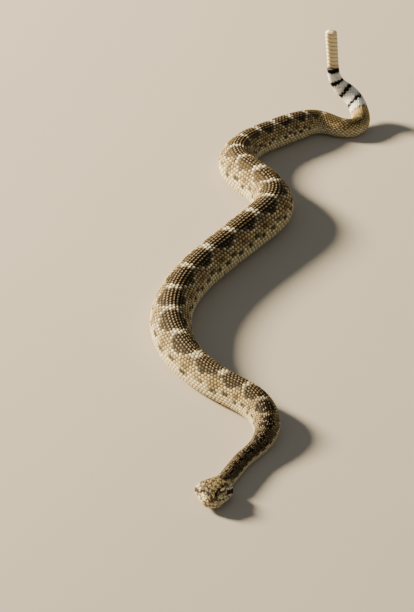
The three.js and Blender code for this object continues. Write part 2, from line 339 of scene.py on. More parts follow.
def on_snout(across, height):
    """The station and the way round at which the snout's front passes through a place."""
    across = np.where(np.abs(across) < MIDLINE, MIDLINE, across)
    rows = np.nonzero(STATIONS < SNOUT_BACK)[0]
    half = COLUMNS // 2
    inside = []
    ways = []
    for row in rows:
        middle = (HEIGHTS[row, half] + HEIGHTS[row, -1]) / 2
        rim = np.arctan2(ACROSS[row, half:], HEIGHTS[row, half:] - middle)
        reach = np.hypot(ACROSS[row, half:], HEIGHTS[row, half:] - middle)
        angle = np.arctan2(np.abs(across), height - middle)
        inside.append(np.interp(angle, rim, reach) - np.hypot(across, height - middle))
        ways.append(np.interp(angle, rim, np.linspace(0, 1, half + 1)))
    inside = np.array(inside)
    ways = np.array(ways)
    s = np.zeros(np.shape(across))
    q = np.zeros(np.shape(across))
    for spot in np.ndindex(s.shape):
        margin = np.maximum.accumulate(inside[(slice(None), *spot)])
        s[spot] = np.interp(0, margin, STATIONS[rows])
        q[spot] = np.interp(s[spot], STATIONS[rows], ways[(slice(None), *spot)])
    return s, q * np.sign(across)


def away_from(s, q, spot):
    """How far along the skin a place on the head lies from the eye, a pit or a nostril."""
    centre_q = float(q_at_height(spot["forward"], spot["up"]))
    return np.hypot(s + spot["forward"], (np.abs(q) - centre_q) * half_girth(s))


COAT_DEPTH = 0.3
COAT_STEPS = [(0.45, 20, 220), (-0.35, 760, 250)]


def coat_depth(s):
    """The skin lies this far inside the solids, and the scales reach out to them."""
    return COAT_DEPTH + growth(COAT_STEPS, s)


def mouth_height(d):
    """The line of the mouth dips below the eye and rises to the corner of the jaw."""
    rise = MOUTH_CORNER_RISE * falling(d, MOUTH_BACK + MOUTH_CORNER_LENGTH, MOUTH_CORNER_LENGTH)
    return MOUTH_HEIGHT + rise - MOUTH_DIP * hump(d, MOUTH_DIP_FORWARD, MOUTH_DIP_REACH)


def above_mouth(s, q):
    return look_up(HEIGHTS, s, q) - mouth_height(-s)


# Colours

def linear(red, green, blue):
    c = np.array([red, green, blue]) / 255
    return np.where(c <= 0.04045, c / 12.92, ((c + 0.055) / 1.055) ** 2.4)


CREAM = linear(246, 225, 172)
BELLY = linear(240, 223, 178)
FLANK = linear(210, 182, 124)
BACK = linear(142, 118, 74)
BLOTCH = linear(37, 28, 18)
BLOTCH_EDGE = linear(56, 46, 27)
HEART = linear(212, 182, 130)
BORDER = linear(250, 234, 194)
SMUDGE = linear(98, 72, 44)
SPOT = linear(34, 27, 22)
CROWN = linear(158, 136, 92)
CROWN_DARK = linear(30, 24, 17)
CHEEK = linear(236, 215, 166)
EYE_STRIPE = linear(56, 42, 28)
LIP = linear(238, 220, 174)
# Painted shade in the line of the mouth and in the eye sockets, pits and nostrils
HOLLOW_PAINTED_SHADE = linear(20, 15, 12)
TAIL_WHITE = linear(244, 239, 224)
RING_EDGE_PAINTED_SHADE = linear(176, 170, 158)
TAIL_BLACK = linear(18, 16, 16)
TAIL_TAN = linear(190, 162, 104)
STRAW = linear(234, 214, 164)
STRAW_DARK = linear(128, 98, 58)
IRIS_BROWN = linear(78, 54, 30)
IRIS_STRAW = linear(160, 124, 68)
FLOOR = linear(162, 152, 135)


def mix(first, second, amount):
    amount = np.clip(amount, 0, 1)[..., None]
    return first * (1 - amount) + second * amount


def wobble(s, q, seed):
    """A slow, smooth unevenness, so that no two diamonds are alike."""
    return (
        np.sin(s * 0.21 + seed * 1.7 + 3 * q) + np.sin(s * 0.083 - 5.1 * q + seed)
        + 0.7 * np.sin(s * 0.47 + 7 * q + 2.3 * seed)
    ) / 2.7


# The diamonds: how long each one is, and where the first pale bar crosses the back

SHORTEST_DIAMOND = 24
DIAMOND_GROWTH = [(24, 110, 150), (-13, 560, 110), (-10, 700, 170)]
FIRST_BAR = 89.0
PHASE_STATIONS = np.arange(-60, BODY_END + 1.0)
PHASE = np.cumsum(1 / (SHORTEST_DIAMOND + growth(DIAMOND_GROWTH, PHASE_STATIONS)))
PHASE -= np.interp(FIRST_BAR, PHASE_STATIONS, PHASE)

# Stretches of the body where the markings change, each with its start or end and its length

TRUNK_START = (80, 110)
NECK_END = (140, 70)
FADE_TO_TAIL = (885, 55)
# Where the diamonds are paler: partly the pattern fading towards the tail, partly painted light where the
# back is washed out
FADED_AND_LIT_START = (620, 80)
FADED_AND_LIT_END = (860, 60)

# Sizes round the body, as shares of the way from the spine to the middle of the belly

BAR_HALF = 0.12
CORNER_REACH = 0.165
OUTLINE_OFFSET = 0.03
OUTLINE_HALF = 0.02
BACK_TO_FLANK = (0.18, 0.14)
FLANK_TO_CREAM = (0.34, 0.14)
FLANK_TO_BELLY = (0.64, 0.08)
NECK_SIDE = (0.52, 0.14)

# Marks on the flank: place and half length along a diamond, then place and half size round the body

SMUDGE_MARK = (1, 0.38, 0.35, 0.06)
LOWER_SPOT = (0.75, 0.2, 0.455, 0.036)
UPPER_SPOT = (0.12, 0.14, 0.4, 0.034)
LOWER_SPOT_STAGGER = 0.18


def mark(off, away, shape):
    """A soft oval mark, where off is 0 in the middle of a diamond and 1 at the bar on either end."""
    off_centre, off_reach, away_centre, away_reach = shape
    return hump(off, off_centre, off_reach) * hump(away, away_centre, away_reach)


def flank_colour(s, q, off, away, contrast):
    """The ground colour, with brown smudges below the bars and small dark spots."""
    colour = mix(BACK, FLANK, (away - BACK_TO_FLANK[0]) / BACK_TO_FLANK[1])
    colour = mix(colour, CREAM, (away - FLANK_TO_CREAM[0]) / FLANK_TO_CREAM[1])
    smudge = mark(off, away, SMUDGE_MARK) * (0.8 + 0.3 * wobble(s, q, 9))
    colour = mix(colour, SMUDGE, contrast * smudge)
    spot = 1.7 * mark(off - np.sign(q) * LOWER_SPOT_STAGGER, away, LOWER_SPOT)
    spot += 1.3 * mark(off, away, UPPER_SPOT)
    return mix(colour, SPOT, contrast * np.minimum(spot, 0.95))


def body_colour(s, q):
    """Diamonds down the back between pale bars, and smudges and small dark spots down the flanks."""
    phase = np.interp(s, PHASE_STATIONS, PHASE) + 0.03 * wobble(s, q, 1)
    off = 2 * np.abs(phase - np.floor(phase) - 0.5)
    away = np.abs(q) + 0.01 * wobble(s, q, 5)
    contrast = 1 - 0.75 * rising(s, *FADE_TO_TAIL)
    colour = flank_colour(s, q, off, away, contrast)
    neck = falling(s, *NECK_END) * falling(away, *NECK_SIDE)
    colour = mix(colour, BLOTCH, 0.93 * neck)
    reach = BAR_HALF + CORNER_REACH * np.clip(1 - off / 0.85, 0, 1) ** 0.85
    outline = hump(away, reach + OUTLINE_OFFSET, OUTLINE_HALF) * falling(off, 0.92, 0.1)
    bar = rising(off, 0.76, 0.08) * falling(away, BAR_HALF + 0.015, 0.03)
    on_trunk = rising(s, *TRUNK_START)
    pale = np.maximum((0.1 + 0.5 * on_trunk) * outline, (0.06 + 0.94 * on_trunk) * bar)
    colour = mix(colour, BORDER, contrast * pale)
    core = falling(away, BAR_HALF + 0.01, 0.04)
    mottle = 0.85 * rising(wobble(2.6 * s, 15 * q, 7), 0.05, 0.25)
    # Paler, less mottled diamonds here, partly as the pattern fades towards the tail and partly as painted
    # light
    faded_and_lit = rising(s, *FADED_AND_LIT_START) * falling(s, *FADED_AND_LIT_END)
    edge = mix(BLOTCH_EDGE, BACK, 0.3 * faded_and_lit)
    diamond = mix(edge, BLOTCH, np.maximum(np.maximum(core, neck), mottle * (1 - 0.6 * faded_and_lit)))
    inside = falling(off, 0.82, 0.05) * falling(away, reach + 0.01, 0.02)
    colour = mix(colour, diamond, inside * np.maximum(contrast, 0.35))
    colour = mix(colour, BELLY, rising(away, *FLANK_TO_BELLY))
    return tail_colour(s, q, colour)


TAN_START = (974, 12)
RINGS_START = (996, 2.5)
RING_CENTRE = 1005
RING_PITCH = 18.4
BLACK_SHARE = 0.19


def tail_colour(s, q, colour):
    """A tan stretch, then white and black rings up to the rattle, each white ring with painted shade towards
    its edges so that it looks swollen.
    """
    colour = mix(colour, TAIL_TAN, 0.85 * rising(s, *TAN_START))
    turn = (s - RING_CENTRE + wobble(0 * s, q, 4)) / RING_PITCH
    off_white = 2 * np.abs(turn - np.round(turn))
    # Painted shade: each white ring greys towards its edges, as if it bulged
    white = mix(TAIL_WHITE, RING_EDGE_PAINTED_SHADE, 0.5 * rising(off_white, 0.25, 0.5))
    ringed = mix(white, TAIL_BLACK, rising(off_white, 1 - 2 * BLACK_SHARE, 0.1))
    return mix(colour, ringed, rising(s, *RINGS_START))


# The markings of the head, and a painted shadow: the dark line that the raised ridge casts on the crown from
# behind the brow to the nostril.

RIDGE_FORWARD = [26, 35, 42, 50]
RIDGE_OUT = [8.6, 6.3, 4.6, 2.4]
RIDGE_HALF = 0.9
BAND_HEIGHT = 12.6
BAND_SLOPE = 0.3
BAND_HALF = 1.9
BAND_WIDENING = 0.06
BAND_EDGE = 0.8
STRIPE_FRONT = 3.6
STRIPE_SLOPE = 0.5


def crown_and_cheek(d, q):
    """Speckled crown with a painted shadow along its ridges, and pale cheeks with painted shade on the snout
    front.
    """
    speckle = wobble(3.4 * d, 9 * q, 2)
    across = np.abs(look_up(ACROSS, -d, q))
    # Painted shadow: a dark line just inside each ridge, as if the ridge cast it onto the crown
    shade = hump(across, np.interp(d, RIDGE_FORWARD, RIDGE_OUT), RIDGE_HALF) * rising(d, 24, 5)
    shade *= 1 - 0.7 * rising(d, 44, 4)
    crown = mix(CROWN, CROWN_DARK, 0.1 + 0.8 * rising(speckle, -0.05, 0.35) + 0.6 * shade)
    fleck = mix(CROWN, CROWN_DARK, 0.5 * speckle)
    # Painted shade: the cheek darkens towards the front of the snout, on top of its own dark speckle
    cheek = mix(CHEEK, fleck, 0.12 + 0.4 * speckle + 0.2 * rising(d, 45, 5))
    crown_edge = 0.3 - 0.1 * rising(d, 34, 14)
    return mix(crown, cheek, rising(np.abs(q), crown_edge, 0.07))


def head_colour(d, q, height):
    """Crown and cheeks, with the dark band behind the eye, a fainter one before it, and pale lips."""
    colour = crown_and_cheek(d, q)
    behind_eye = EYE["forward"] - d
    off = np.abs(height - (BAND_HEIGHT - BAND_SLOPE * behind_eye))
    half = BAND_HALF + BAND_WIDENING * behind_eye
    band = rising(behind_eye, -1, 3) * rising(d, 9, 6)
    colour = mix(colour, BORDER, 0.95 * band * hump(off, half + BAND_EDGE, BAND_EDGE))
    colour = mix(colour, EYE_STRIPE, band * falling(off, half + 0.2, 0.6))
    front = EYE["forward"] + STRIPE_FRONT - STRIPE_SLOPE * (EYE["up"] - height)
    low = falling(height, 14, 2) * rising(np.abs(q), 0.25, 0.05)
    colour = mix(colour, BORDER, 0.9 * low * hump(d, front + 1.4, 1.0))
    colour = mix(colour, EYE_STRIPE, 0.7 * low * hump(d, front - 1.5, 1.7))
    lips = falling(height, mouth_height(d) + 2.4, 1.2) * rising(d, MOUTH_BACK - 3, 4)
    colour = mix(colour, LIP, 0.7 * lips)
    return mix(colour, BELLY, falling(height, 3.2, 1.6))


def markings(s, q):
    """The colour of skin and scales alike at a place on the animal."""
    s, q = np.broadcast_arrays(np.asarray(s, float), q)
    q = (q + 1) % 2 - 1
    return mix(head_colour(-s, q, look_up(HEIGHTS, s, q)), body_colour(s, q), rising(s, -9, 14))


# Meshes

def add_object(name, data):
    made = bpy.data.objects.new(name, data)
    bpy.context.scene.collection.objects.link(made)
    return made


def make_mesh(name, points, faces, colours=None, places=None, sharp=None):
    """One closed mesh, with its colours at its points and the bake's places at its corners."""
    mesh = bpy.data.meshes.new(name)
    corners = faces.ravel()
    mesh.vertices.add(len(points))
    mesh.vertices.foreach_set("co", to_metres(points).astype(np.float32).ravel())
    mesh.loops.add(len(corners))
    mesh.loops.foreach_set("vertex_index", corners.astype(np.int32))
    mesh.polygons.add(len(faces))
    mesh.polygons.foreach_set("loop_start", np.arange(0, len(corners), faces.shape[1], dtype=np.int32))
    mesh.update(calc_edges=True)
    mesh.shade_smooth()
    if sharp:
        mesh.set_sharp_from_angle(angle=math.radians(sharp))
    if colours is not None:
        rgba = np.concatenate([colours, np.ones((len(colours), 1))], 1)
        tint = mesh.color_attributes.new("Tint", "FLOAT_COLOR", "POINT")
        tint.data.foreach_set("color", rgba.astype(np.float32).ravel())
    if places is not None:
        unwrap = mesh.uv_layers.new(name="OFBake")
        unwrap.data.foreach_set("uv", places[corners].astype(np.float32).ravel())
    piece = add_object(name, mesh)
    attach(piece, "root")
    return piece


def grid_faces(rows, columns, wrap=False):
    j = np.arange(columns if wrap else columns - 1)
    i = np.arange(rows - 1)[:, None] * columns
    k = (j + 1) % columns
    quads = np.stack([i + j, i + k, i + columns + k, i + columns + j], -1)
    return quads.reshape(-1, 4)


def outward(points, faces):
    """The faces, all turned over if together they enclose a negative volume."""
    corner = points[faces] - points.mean(0)
    volume = 0
    for k in range(1, faces.shape[1] - 1):
        volume += (corner[:, 0] * np.cross(corner[:, k], corner[:, k + 1])).sum()
    return faces if volume > 0 else faces[:, ::-1]


def close_tube(points, sides, *fields):
    """Faces for a tube of rings, with a hub closing each end. Each field has one row for a point."""
    rows = len(points) // sides
    quads = grid_faces(rows, sides, wrap=True)
    faces = [quads[:, [0, 1, 2]], quads[:, [0, 2, 3]]]
    around = np.arange(sides)
    for row in (0, rows - 1):
        first = row * sides
        hub = np.full(sides, len(points))
        fan = np.stack([first + around, first + (around + 1) % sides, hub], 1)
        faces.append(fan if row else fan[:, ::-1])
        points = np.concatenate([points, points[first:first + sides].mean(0)[None]])
        fields = [np.concatenate([field, field[first][None]]) for field in fields]
    return points, outward(points, np.concatenate(faces)), *fields


def unwrap_place(s, q, span):
    """The place in the bake's picture, for a piece that spans some stations."""
    first, last = span
    return np.stack([0.01 + 0.98 * (s - first) / (last - first), 0.01 + 0.49 * ((q + 1) % 2)], -1)


# The skin: one closed surface under all the scales, with the mouth, the pits and the eye sockets, its colour
# darkened as painted shade

SKIN_COLUMNS = 192
CLOSE_RINGS_END = -47.5
NECK_RINGS_END = 60
# Painted shade: the skin's own colour is darkened under the scales
SKIN_SHADE = 0.42
JAW_BLEND = 1.5
GAPE_HALF = 0.3
GAPE_DEPTH = 0.6
LOWER_LIP_SETBACK = 0.45
HOLLOWS = [(EYE, 0.45, 2.1, 0.8), (PIT, 0.2, 1.9, 0.9), (NOSTRIL, 0.1, 1.2, 0.6)]


def dent(s, q, spot, margin, depth, rim):
    """How deep a round hollow on the side of the head goes in at s and q."""
    return depth * smooth((spot["radius"] + margin - away_from(s, q, spot)) / rim)


def gape(s, q):
    """1 along the line of the mouth, and 0 away from it."""
    return rising(-s, MOUTH_BACK, JAW_BLEND) * hump(above_mouth(s, q), 0, GAPE_HALF)


def skin_relief(s, q):
    """How far the skin lies off the surface of the solids: below it everywhere."""
    below_lip = rising(-s, MOUTH_BACK, JAW_BLEND) * falling(above_mouth(s, q), 0.2, 0.5)
    hollows = sum(dent(s, q, *hollow) for hollow in HOLLOWS)
    return -coat_depth(s) - LOWER_LIP_SETBACK * below_lip - GAPE_DEPTH * gape(s, q) - hollows


def skin_stations():
    snout = along_skin(-HEAD_LENGTH, np.arange(0.05, 14, 0.3))
    head = np.concatenate([snout[snout < CLOSE_RINGS_END], np.linspace(CLOSE_RINGS_END, -2, 104)])
    neck = np.arange(-1.0, NECK_RINGS_END, 2)
    body = np.arange(NECK_RINGS_END, BODY_END - 1, 4.0)
    return np.concatenate([head, neck, body, [BODY_END - 0.2]])


def build_skin():
    around = np.linspace(-1, 1, SKIN_COLUMNS, endpoint=False)
    s, q = np.meshgrid(skin_stations(), around, indexing="ij")
    points = place(s, q, skin_relief(s, q)).reshape(-1, 3)
    # Painted shade: darker in the line of the mouth and in the eye sockets, the pits and the nostrils, over
    # skin already darkened under the scales
    dark = gape(s, q) + sum(dent(s, q, spot, 0.2, 1, 0.7) for spot in (EYE, PIT, NOSTRIL))
    colours = mix(markings(s, q) * SKIN_SHADE, HOLLOW_PAINTED_SHADE, dark).reshape(-1, 3)
    places = unwrap_place(s, q, (-HEAD_LENGTH, BODY_END)).reshape(-1, 2)
    return make_mesh("skin", *close_tube(points, SKIN_COLUMNS, colours, places))


# A scale: a small closed plate on a grid, lifted towards its tip, with a keel along its middle

SCALE_ACROSS = np.array([-1, -0.62, -0.16, 0, 0.16, 0.62, 1])
SCALE_ALONG = np.array([0, 0.3, 0.52, 0.72, 0.88, 1])
SHIELD_ACROSS = np.array([-1, -0.8, -0.4, 0, 0.4, 0.8, 1])
SHIELD_ALONG = np.array([0, 0.12, 0.35, 0.65, 0.88, 1])
SCALE_SHARP = 48
PLATE_SHARP = 60
# Painted shade: the sides and undersides of the scales and plates are darkened
UNDERSIDE_SHADE = 0.5
DOTTED_HEART = 0.85
PATCH = 0.003
# heart sets how strongly a scale's root and sides are darkened, partly as painted shade, how strong its
# painted highlight is, and whether it has a pale dot
ROOT_KEYS = ("s", "q", "length", "width", "keel", "depth", "rise", "turn", "tone", "heart")


def scale_topology(across, along):
    """The faces of one closed plate, and which points of its top grid form its rim."""
    top = grid_faces(len(along), len(across))
    n = len(across) * len(along)
    grid = np.arange(n).reshape(len(along), len(across))
    rim = np.concatenate([grid[0], grid[1:, -1], grid[-1, -2::-1], grid[-2:0:-1, 0]])
    foot = n + np.arange(len(rim))
    following = np.roll(np.arange(len(rim)), -1)
    side = np.stack([rim, foot, foot[following], rim[following]], 1)
    k = np.arange(len(rim) // 2 - 1)
    under = np.stack([foot[k], foot[-1 - k], foot[-2 - k], foot[k + 1]], 1)
    return np.concatenate([top, side, under]), rim


def keeled_width(v):
    """Half width of a pointed scale, from its root (v = 0) to its tip (v = 1)."""
    behind = 0.78 + 0.22 * smooth(v / 0.45)
    return behind * np.clip(1 - (np.clip(v - 0.4, 0, 1) / 0.615) ** 1.9, 0.01, 1) ** 0.6


def shield_width(v):
    """Half width of a blunt shield."""
    return (1 - np.abs(2 * v - 1) ** 4).clip(0.1) ** 0.3


def scale_roots(s, q, length, width, keel=0.0, depth=None, rise=1.0, turn=0.0, spread=0.08, heart=0.5):
    """A table with one row for each scale. Its tone varies from scale to scale by a spread."""
    s = np.asarray(s, float)
    depth = coat_depth(s) if depth is None else depth
    tone = 1 + spread * rng.standard_normal(len(s))
    values = (s, q, length, width, keel, depth, rise, turn, tone, heart)
    return {key: np.broadcast_to(value, s.shape).astype(float) for key, value in zip(ROOT_KEYS, values)}


def choose(roots, keep):
    return {key: value[keep] for key, value in roots.items()}


def join(*tables):
    return {key: np.concatenate([table[key] for table in tables]) for key in ROOT_KEYS}


def scale_colour(own, fine, u, v, tone, heart):
    """A scale is one colour, darker at its root and sides, partly its own dark edge and partly painted shade
    where the scale before lies over it. A painted highlight lightens its keel near the tip. Dark ones on the
    back have a pale dot.
    """
    base = (0.8 * own + 0.2 * fine) * tone[..., None]
    dark = falling(base.mean(2), 0.14, 0.1)
    # Painted highlight on the keel near the tip; elsewhere the root and sides are darkened, partly as
    # painted shade
    painted_highlight = hump(u, 0, 0.6) * hump(v, 0.82, 0.2)
    edge = base * (1 - np.minimum(heart, 1) * (0.92 - 0.42 * dark) * (1 - painted_highlight))[..., None]
    lit = mix(edge, base * (1 + 0.12 * heart)[..., None], painted_highlight)
    dot = np.exp(-((u / 0.4) ** 4)) * np.exp(-(((v - 0.8) / 0.115) ** 4))
    strength = 0.1 + 0.4 * falling(fine.mean(2), 0.024, 0.006)
    return mix(lit, HEART, strength * np.maximum(heart - DOTTED_HEART, 0) / (1 - DOTTED_HEART) * dark * dot)


def scale_field(name, roots, width_of, span, across=SCALE_ACROSS, along=SCALE_ALONG):
    """Joins many scales into one mesh. Each root is a row of the table made by scale_roots."""
    faces, rim = scale_topology(across, along)
    columns = [roots[key][:, None] for key in ROOT_KEYS]
    s0, q0, length, width, keel, depth, rise, turn, tone, heart = columns
    u = np.tile(across, len(along))[None]
    v = np.repeat(along, len(across))[None]
    out = u * width_of(v) * width / 2
    forward = (v - 0.35) * length
    s = along_skin(s0, forward * np.cos(turn) - out * np.sin(turn))
    q = q0 + (forward * np.sin(turn) + out * np.cos(turn)) / half_girth(s)
    keel_line = hump(u, 0, 0.2) * np.sin(np.pi * np.clip(v, 0.02, 0.97)) ** 0.6
    lift = depth * (-0.72 + rise * 0.72 * v ** 1.3 - 0.32 * u * u) + keel * keel_line
    top = place(s, q, lift)
    bottom = place(s[:, rim], q[:, rim], np.broadcast_to(-1.25 * depth, (len(s0), len(rim))))
    points = np.concatenate([top, bottom], 1)
    colour = scale_colour(markings(s0 + 0.3 * length, q0), markings(s, q), u, v, tone, heart)
    colours = np.concatenate([colour, colour[:, rim] * UNDERSIDE_SHADE], 1).reshape(-1, 3)
    offset = np.stack(np.broadcast_arrays(PATCH * (v - 0.5), 0.5 * PATCH * u * width_of(v)), -1)
    spot = unwrap_place(s0, q0, span) + offset
    places = np.concatenate([spot, spot[:, rim]], 1).reshape(-1, 2)
    first_points = points.shape[1] * np.arange(len(s0))[:, None, None]
    all_faces = (outward(points[0], faces)[None] + first_points).reshape(-1, 4)
    return make_mesh(name, points.reshape(-1, 3), all_faces, colours.clip(0, 1), places, SCALE_SHARP)


# The scales of the body stand in long rows, every other row half a scale further on

VENTRAL_EDGE = 0.74
ROWS = 25
TAIL_ROWS = 17
SCALE_SHARE = 1.36
COAT_PIECES = [-10, 190, 400, 610, 820, BODY_END + 1]
DOTLESS_FLANK = (0.33, 0.06)
SPECKLED_NECK = (155, 60)
SPECKLED_SIDE = 0.5
PLAIN_SHARE = 0.35


def row_spacing(s, rows):
    return 2 * VENTRAL_EDGE * half_girth(s) / rows


def scale_pitch(row_width):
    """How far apart the scales of a row stand, longer for their width where the body is slender."""
    return SCALE_SHARE * row_width ** 0.8 * 4 ** 0.2


def ring_places(start, end, rows):
    """Stations of the half rings, a half scale apart, closer where the body is slender."""
    s = [start]
    while s[-1] < end:
        s.append(s[-1] + 0.5 * scale_pitch(row_spacing(s[-1], rows)))
    return np.array(s)


def body_roots(start, end, rows):
    half_rings = ring_places(start, end, rows)
    half = rows // 2
    ring, row = np.meshgrid(np.arange(len(half_rings) - 1), np.arange(-half, half + 1), indexing="ij")
    stand = (ring + row) % 2 == 0
    ring = ring[stand]
    row = row[stand]
    s = half_rings[ring]
    q = row * 2 * VENTRAL_EDGE / rows
    low = half - np.abs(row)
    row_width = row_spacing(s, rows)
    pitch = scale_pitch(row_width)
    s = s + 0.06 * pitch * rng.standard_normal(len(s))
    keel = 0.42 * coat_depth(s) * smooth(low / 3)
    broad = 1.42 + 0.24 * smooth(1 - low / 2)
    heart = 1 - 0.65 * rising(s, 975, 20) - 0.16 * rising(np.abs(q), *DOTLESS_FLANK)
    roots = scale_roots(s, q, 1.5 * pitch, broad * row_width, keel, spread=0.1, heart=heart)
    speckled = falling(s, *SPECKLED_NECK) * (np.abs(q) < SPECKLED_SIDE)
    plain = rng.random(len(s)) < PLAIN_SHARE
    roots["tone"] = roots["tone"] * (1 + speckled * np.where(plain, -0.5, 0.15))
    roots["heart"] = roots["heart"] * (1 + speckled * np.where(plain, -1, 0.11))
    return roots


def build_body_scales():
    trunk = body_roots(-7.0, TAIL_START + 4, ROWS)
    roots = join(trunk, body_roots(TAIL_START + 1, BODY_END - 2, TAIL_ROWS))
    pieces = []
    for n, span in enumerate(zip(COAT_PIECES, COAT_PIECES[1:])):
        part = choose(roots, (roots["s"] >= span[0]) & (roots["s"] < span[1]))
        pieces.append(scale_field(f"scales_{n + 1}", part, keeled_width, span))
    return pieces


# The belly is crossed by one broad plate to each ring of scales

BELLY_ACROSS = np.linspace(-1, 1, 13)
BELLY_ALONG = np.array([0, 0.4, 0.8, 1])
BELLY_OVERLAP = 0.035


def belly_width(v):
    return 1 - 0.08 * rising(v, 0.7, 0.3)


def build_belly_plates():
    rings = ring_places(-12.0, BODY_END - 3, ROWS)[::2]
    pitch = np.gradient(rings)
    width = 2 * (1 - VENTRAL_EDGE + BELLY_OVERLAP) * half_girth(rings)
    roots = scale_roots(rings, np.ones(len(rings)), 1.35 * pitch, width, spread=0.03, heart=0.15)
    span = (-HEAD_LENGTH, BODY_END)
    return scale_field("belly_plates", roots, belly_width, span, BELLY_ACROSS, BELLY_ALONG)


# The head: small scales all over, shields along the lips, round the eyes and on the snout

HEAD_SPAN = (-HEAD_LENGTH, 0)
HEAD_SCALE = 1.55
HEAD_SCALE_STEPS = [(0.45, -26, 22)]
HEAD_RING_SHARE = 0.82
FRECKLED_SHARE = 0.3
FRECKLE_TONE = 0.28
BARE_LIPS = (-2.7, 2.9)
SNOUT_FRONT = 51.3
SNOUT_PLATES_TOP = 11.6
LIP_SHIELDS = 15
UPPER_LIP_UP = 1.55
LOWER_LIP_DOWN = 1.65


def head_ring(at, ring):
    """One ring of small scales round the head, some of them dark freckles, and their size."""
    size = HEAD_SCALE + growth(HEAD_SCALE_STEPS, at)
    count = int(round(2 * half_girth(at) / size))
    q = -1 + (2 * np.arange(count) + ring % 2) / count
    s = at + 0.12 * size * rng.standard_normal(count)
    q = q + 0.1 * size * rng.standard_normal(count) / half_girth(at)
    freckled = rng.random(count) < FRECKLED_SHARE
    table = scale_roots(s, q, 1.75 * size, 1.36 * size, 0.1, rise=0.9, spread=0.2, heart=0.65)
    table["tone"] = table["tone"] * np.where(freckled, FRECKLE_TONE, 1.15)
    return table, size


def head_roots():
    tables = []
    at = -5.0
    while at > -HEAD_LENGTH + 0.1:
        table, size = head_ring(at, len(tables))
        tables.append(table)
        at = float(along_skin(at, -HEAD_RING_SHARE * size))
    roots = join(*tables)
    s, q = roots["s"], roots["q"]
    above = above_mouth(s, q)
    lips = (-s > MOUTH_BACK - 1) & (above > BARE_LIPS[0]) & (above < BARE_LIPS[1])
    throat = (s > -MOUTH_BACK + 4) & (np.abs(q) > VENTRAL_EDGE)
    front = (-s > SNOUT_FRONT) & (look_up(HEIGHTS, s, q) < SNOUT_PLATES_TOP)
    keep = ~lips & ~throat & ~front
    for spot, margin in ((EYE, 1.0), (PIT, 0.7), (NOSTRIL, 0.9)):
        keep &= away_from(s, q, spot) > spot["radius"] + margin
    return choose(roots, keep)


def lip_roots():
    """Shields along the upper and the lower lip, evenly spaced from the snout to the corner of the jaw."""
    run = np.linspace(5.6, float(np.interp(-MOUTH_BACK - 0.6, STATIONS, SKIN_RUN)), LIP_SHIELDS)
    d = -np.interp(run, SKIN_RUN, STATIONS)
    length = 1.12 * (run[1] - run[0])
    tables = []
    for side in (-1, 1):
        upper = side * q_at_height(d, mouth_height(d) + UPPER_LIP_UP)
        lower = side * q_at_height(d, mouth_height(d) - LOWER_LIP_DOWN)
        tables.append(scale_roots(-d, upper, length, 2.9, depth=0.42, rise=0.5, spread=0.07))
        tables.append(scale_roots(-d, lower, length, 2.5, depth=0.42, rise=0.35, spread=0.07))
    return join(*tables)


def ring_roots(spot, margin, count, length, width):
    """Small shields side by side round the eye, a pit or a nostril."""
    radius = spot["radius"] + margin
    turn = 2 * np.pi * np.arange(count) / count
    tables = []
    for side in (-1, 1):
        centre_q = float(q_at_height(spot["forward"], spot["up"]))
        s = -spot["forward"] + radius * np.cos(turn)
        q = side * (centre_q + radius * np.sin(turn) / half_girth(s))
        tables.append(scale_roots(s, q, length, width, depth=0.34, rise=0.4, turn=side * (turn + np.pi / 2)))
    return join(*tables)


# The paired plates along the ridge, from the nostril back to the brow

RIDGE_PLATES = {
    "forward": np.array([49.6, 46.8, 43.6]),
    "out": np.array([1.6, 3.4, 5.4]),
    "length": [3.4, 3.9, 4.2],
    "width": [2.7, 2.9, 2.9],
}
RIDGE_PLATE_TURN = 0.35


def ridge_roots():
    s = -RIDGE_PLATES["forward"]
    tables = []
    for side in (-1, 1):
        q = side * RIDGE_PLATES["out"] / half_girth(s)
        sizes = RIDGE_PLATES["length"], RIDGE_PLATES["width"]
        tables.append(scale_roots(s, q, *sizes, depth=0.42, rise=0.9, turn=side * RIDGE_PLATE_TURN))
    return join(*tables)


# The plates on the front of the snout: how far across and how high each one stands, and its half sizes

SNOUT_PLATES = [
    (0.0, 7.3, 2.35, 2.2),
    (0.0, 3.0, 1.85, 1.35),
    (3.85, 6.5, 1.6, 1.5),
    (3.3, 2.9, 1.5, 1.3),
    (3.7, 9.4, 1.55, 1.45),
    (1.5, 10.8, 1.4, 1.2),
]
PLATE_ROUNDING = 0.42


def build_snout_plates():
    faces, rim = scale_topology(SHIELD_ACROSS, SHIELD_ALONG)
    u = np.tile(SHIELD_ACROSS, len(SHIELD_ALONG))
    v = np.repeat(SHIELD_ALONG, len(SHIELD_ACROSS)) * 2 - 1
    round_u = u * np.sqrt(1 - PLATE_ROUNDING * v * v)
    round_v = v * np.sqrt(1 - PLATE_ROUNDING * u * u)
    edge = np.maximum(np.abs(u), np.abs(v)) ** 4
    plates = []
    for across, height, half_width, half_height in SNOUT_PLATES:
        for side in (-1, 1) if across else (1,):
            s, q = on_snout(side * across + round_u * half_width, height + round_v * half_height)
            top = place(s, q, 0.05 - 0.3 * edge)
            low = place(s[rim], q[rim], np.full(len(rim), -0.45))
            points = np.concatenate([top, low])
            # Painted shade: each plate darkens towards its rim, where it falls away into the grooves between
            # plates
            colour = markings(s, q) * (1 - 0.6 * edge)[:, None] * (1 + 0.08 * rng.standard_normal())
            patch = unwrap_place(s.mean(), q.mean(), HEAD_SPAN) + 0.5 * PATCH * np.stack([u, v], 1)
            plates.append((
                points,
                outward(points, faces) + len(plates) * len(points),
                np.concatenate([colour, colour[rim] * UNDERSIDE_SHADE]),
                np.concatenate([patch, patch[rim]]),
            ))
    parts = (np.concatenate(part) for part in zip(*plates))
    return make_mesh("snout_plates", *parts, sharp=PLATE_SHARP)


